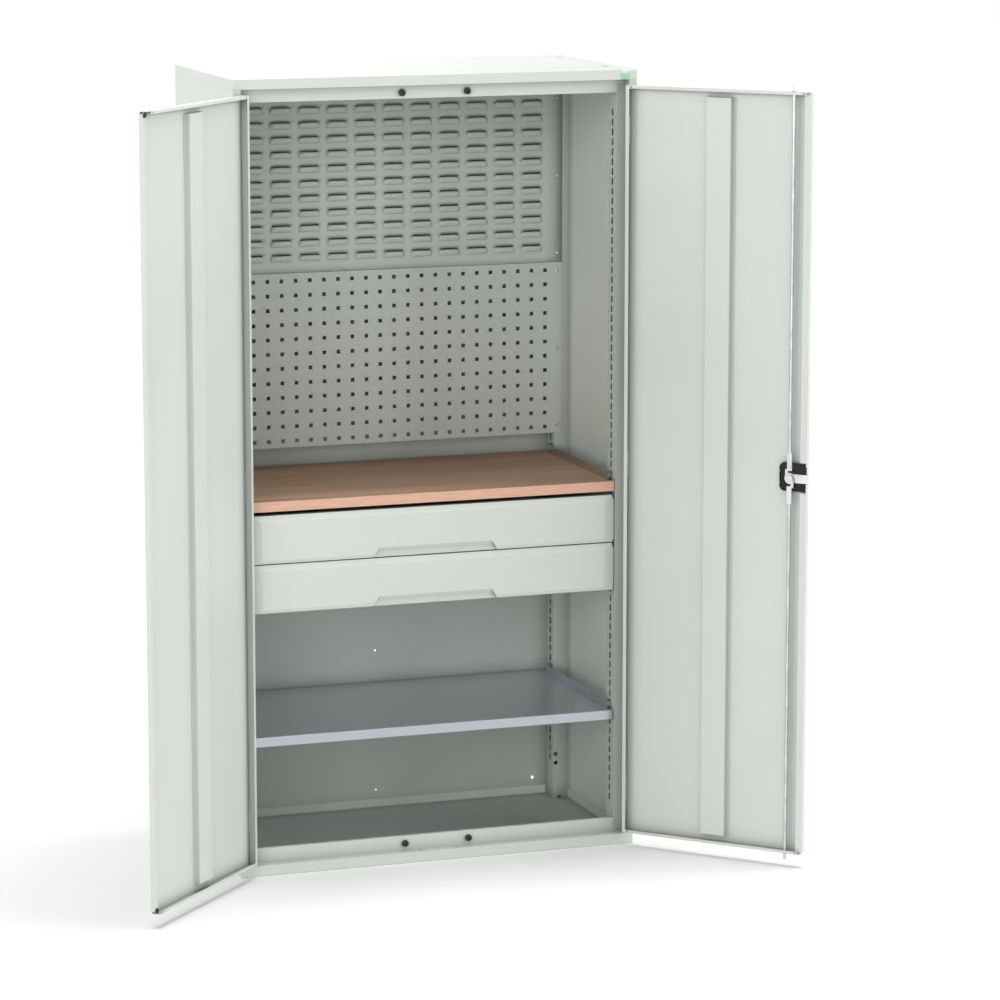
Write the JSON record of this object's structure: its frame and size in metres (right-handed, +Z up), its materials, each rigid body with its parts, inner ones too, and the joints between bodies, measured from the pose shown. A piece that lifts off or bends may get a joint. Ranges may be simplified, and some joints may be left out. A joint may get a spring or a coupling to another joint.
{
  "type": "tool cabinet with hinged doors",
  "caption": "Tall steel tool cabinet with hinged doors, a louvre panel, a perforated panel, a worktop, drawers, a shelf and a rod lock.",
  "frame": {"origin": "on the floor, under the middle of the carcass", "axes": "+X to the viewer's right, -Y towards the front, +Z up"},
  "size_m": [1.7019, 0.9253, 2],
  "materials": {
    "paint_body": "satin",
    "paint_inside": "satin",
    "paint_door": "satin",
    "zinc": "satin",
    "steel": "satin",
    "beech": "oiled",
    "black_plastic": "matte",
    "rubber": "matte",
    "green_plate": "gloss"
  },
  "bodies": {
    "carcass": {"plinth": "paint_body", "floor_panel": "paint_inside", "side_wall_left": "paint_body", "side_wall_right": "paint_body", "back_wall": "paint_inside", "top_cap": "paint_body", "top_rail": "paint_body", "bottom_lip": "paint_body", "front_upright_left": "paint_inside", "front_upright_right": "paint_inside", "rear_upright_left": "paint_inside", "rear_upright_right": "paint_inside", "louvre_panel": "paint_inside", "perforated_panel": "paint_inside", "panel_screws": "steel", "worktop": "beech", "worktop_hangers": "zinc", "shelf": "zinc", "shelf_hangers": "zinc", "frame_buffers": "rubber", "badge_plate": "green_plate", "levelling_feet": "steel", "levelling_nuts": "steel", "top_plugs": "black_plastic", "hinge_frame_leaves": "steel", "hinge_pins": "steel", "upper_outer_runners": "steel", "lower_outer_runners": "steel"},
    "left_door": {"left_door_panel": "paint_door", "left_door_rib": "paint_door", "left_door_hinge_leaves": "steel", "left_door_buffers": "rubber"},
    "right_door": {"right_door_panel": "paint_door", "right_door_rib": "paint_door", "right_door_hinge_leaves": "steel", "lock_housing": "black_plastic", "escutcheon": "black_plastic", "rod_guides": "black_plastic"},
    "handle": {"lock_lever": "black_plastic", "lock_spindle": "steel", "lock_disc": "steel", "lock_tongue": "steel"},
    "key": {"key_cylinder": "steel"},
    "top_rod": {"upper_rod": "steel"},
    "bottom_rod": {"lower_rod": "steel"},
    "upper_drawer": {"upper_drawer_front": "paint_door", "upper_drawer_tray": "paint_inside", "upper_inner_runners": "steel"},
    "upper_middle": {"upper_middle_runners": "steel"},
    "lower_drawer": {"lower_drawer_front": "paint_door", "lower_drawer_tray": "paint_inside", "lower_inner_runners": "steel"},
    "lower_middle": {"lower_middle_runners": "steel"}
  },
  "joints": [
    {"name": "left_door_hinge", "type": "hinge", "parent": "carcass", "child": "left_door", "pos_m": [-0.5036, -0.2755, 1], "axis": [0, 0, -1], "range_deg": [-133.8, 46.2]},
    {"name": "right_door_hinge", "type": "hinge", "parent": "carcass", "child": "right_door", "pos_m": [0.5036, -0.2755, 1], "axis": [0, 0, 1], "range_deg": [-133.8, 46.2]},
    {"name": "handle_turn", "type": "hinge", "parent": "right_door", "child": "handle", "pos_m": [0.81858, -0.60468, 0.999], "axis": [-0.7218, -0.6921, 0], "range_deg": [0, 90]},
    {"name": "key_turn", "type": "hinge", "parent": "right_door", "child": "key", "pos_m": [0.81858, -0.60468, 1.027], "axis": [-0.7218, -0.6921, 0], "range_deg": [0, 90]},
    {"name": "top_rod_slide", "type": "slide", "parent": "right_door", "child": "top_rod", "axis": [0, 0, -1], "range_m": [0, 0.011]},
    {"name": "bottom_rod_slide", "type": "slide", "parent": "right_door", "child": "bottom_rod", "axis": [0, 0, 1], "range_m": [0, 0.011]},
    {"name": "upper_drawer_slide", "type": "slide", "parent": "carcass", "child": "upper_drawer", "axis": [0, -1, 0], "range_m": [0, 0.42]},
    {"name": "upper_middle_slide", "type": "slide", "parent": "carcass", "child": "upper_middle", "axis": [0, -1, 0], "range_m": [0, 0.21]},
    {"name": "lower_drawer_slide", "type": "slide", "parent": "carcass", "child": "lower_drawer", "axis": [0, -1, 0], "range_m": [0, 0.42]},
    {"name": "lower_middle_slide", "type": "slide", "parent": "carcass", "child": "lower_middle", "axis": [0, -1, 0], "range_m": [0, 0.21]}
  ],
  "couplings": [
    {"joint": "top_rod_slide", "follows": "handle_turn", "m_per_rad": 0.0070028},
    {"joint": "bottom_rod_slide", "follows": "handle_turn", "m_per_rad": 0.0070028},
    {"joint": "upper_middle_slide", "follows": "upper_drawer_slide", "ratio": 0.5},
    {"joint": "lower_middle_slide", "follows": "lower_drawer_slide", "ratio": 0.5}
  ]
}
